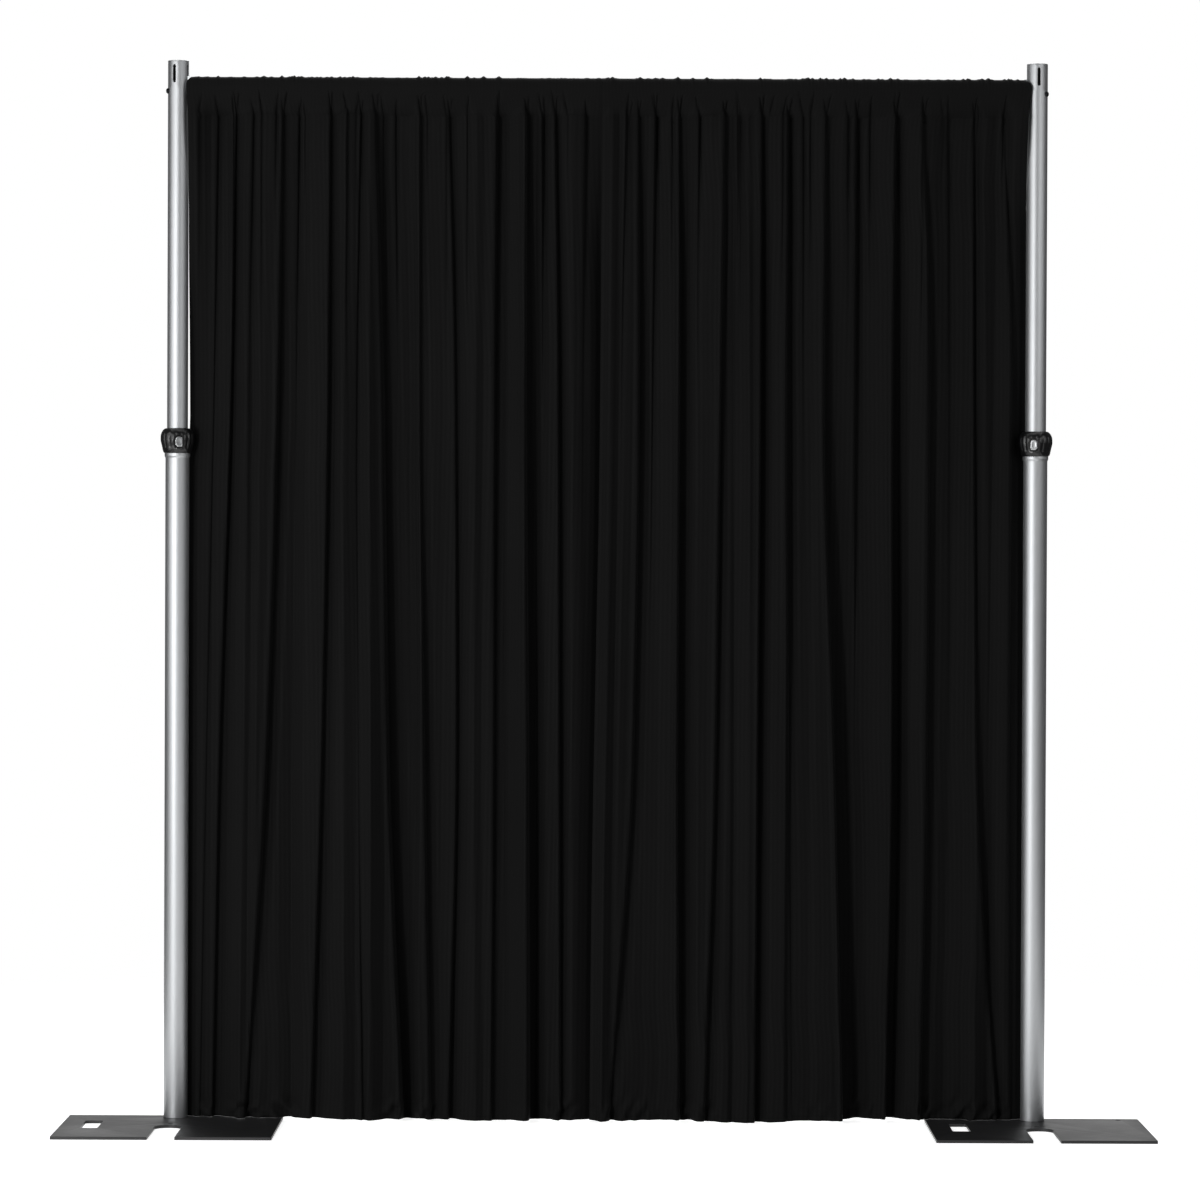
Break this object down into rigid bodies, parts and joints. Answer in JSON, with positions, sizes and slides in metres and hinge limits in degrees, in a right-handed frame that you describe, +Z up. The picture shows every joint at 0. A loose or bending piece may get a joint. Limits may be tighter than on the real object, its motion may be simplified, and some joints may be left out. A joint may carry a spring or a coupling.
{
  "type": "pipe and drape backdrop",
  "caption": "Free-standing backdrop: black cloth panels on a telescoping crossbar between telescoping uprights on flat steel base plates.",
  "frame": {"origin": "on the floor, midway between the two uprights and midway from the front edges of the base plates to the backs of the collars", "axes": "+X to the right as seen from the front, -Y towards the viewer, +Z up"},
  "size_m": [2.2862, 0.363, 2.258],
  "materials": {
    "powder_coated_steel": "satin dark grey powder coat on steel plate",
    "anodised_aluminium": "satin clear-anodised drawn tube",
    "zinc_plated_steel": "satin zinc plate",
    "blackened_steel": "black oxide",
    "black_nylon": "semi-gloss moulded black",
    "natural_nylon": "off-white moulded",
    "black_cloth": "matt black knitted polyester with a soft sheen"
  },
  "bodies": {
    "left_stand": {"left_lower_tube": "anodised_aluminium", "left_guide_sleeve": "natural_nylon", "left_height_collar": "black_nylon", "left_lever_pin": "blackened_steel", "left_lever_spring": "blackened_steel"},
    "left_lever": {"left_cam_lever": "zinc_plated_steel"},
    "left_base": {"left_base_plate": "powder_coated_steel", "left_base_pin": "zinc_plated_steel", "left_base_pin_screw": "blackened_steel"},
    "left_mast": {"left_upper_tube": "anodised_aluminium", "left_guide_bush": "natural_nylon", "left_stop_button": "blackened_steel", "crossbar_outer_tube": "anodised_aluminium", "left_bar_hook": "zinc_plated_steel", "left_hook_rivet": "blackened_steel", "drape_panel_left": "black_cloth"},
    "right_mast": {"right_upper_tube": "anodised_aluminium", "right_guide_bush": "natural_nylon", "right_stop_button": "blackened_steel", "crossbar_inner_tube": "anodised_aluminium", "crossbar_guide_plug": "black_nylon", "right_bar_hook": "zinc_plated_steel", "right_hook_rivet": "blackened_steel", "drape_panel_right": "black_cloth"},
    "right_stand": {"right_lower_tube": "anodised_aluminium", "right_guide_sleeve": "natural_nylon", "right_height_collar": "black_nylon", "right_lever_pin": "blackened_steel", "right_lever_spring": "blackened_steel"},
    "right_lever": {"right_cam_lever": "zinc_plated_steel"},
    "right_base": {"right_base_plate": "powder_coated_steel", "right_base_pin": "zinc_plated_steel", "right_base_pin_screw": "blackened_steel"}
  },
  "joints": [
    {"name": "height", "type": "slide", "parent": "left_stand", "child": "left_mast", "axis": [0, 0, 1], "range_m": [-0.711, 0.18], "deforming": ["drape_panel_left", "drape_panel_right"]},
    {"name": "width", "type": "slide", "parent": "left_mast", "child": "right_mast", "axis": [1, 0, 0], "range_m": [0, 1.219]},
    {"name": "right_height", "type": "slide", "parent": "right_mast", "child": "right_stand", "axis": [0, 0, 1], "range_m": [-0.18, 0.711]},
    {"name": "left_base_turn", "type": "hinge", "parent": "left_stand", "child": "left_base", "pos_m": [-0.9145, 0.1458, 0.006], "axis": [0, 0, 1], "continuous": true},
    {"name": "right_base_turn", "type": "hinge", "parent": "right_stand", "child": "right_base", "pos_m": [0.9145, 0.1458, 0.006], "axis": [0, 0, 1], "continuous": true},
    {"name": "left_release", "type": "hinge", "parent": "left_stand", "child": "left_lever", "pos_m": [-0.90927, 0.11888, 1.4425], "axis": [-0.9816, -0.1908, 0], "range_deg": [0, 10], "stiffness_Nm_per_rad": 0.3, "springref_deg": -5.73},
    {"name": "right_release", "type": "hinge", "parent": "right_stand", "child": "right_lever", "pos_m": [0.90927, 0.11888, 1.4425], "axis": [-0.9816, 0.1908, 0], "range_deg": [0, 10], "stiffness_Nm_per_rad": 0.3, "springref_deg": -5.73}
  ],
  "couplings": [
    {"joint": "right_height", "follows": "height", "ratio": -1}
  ]
}
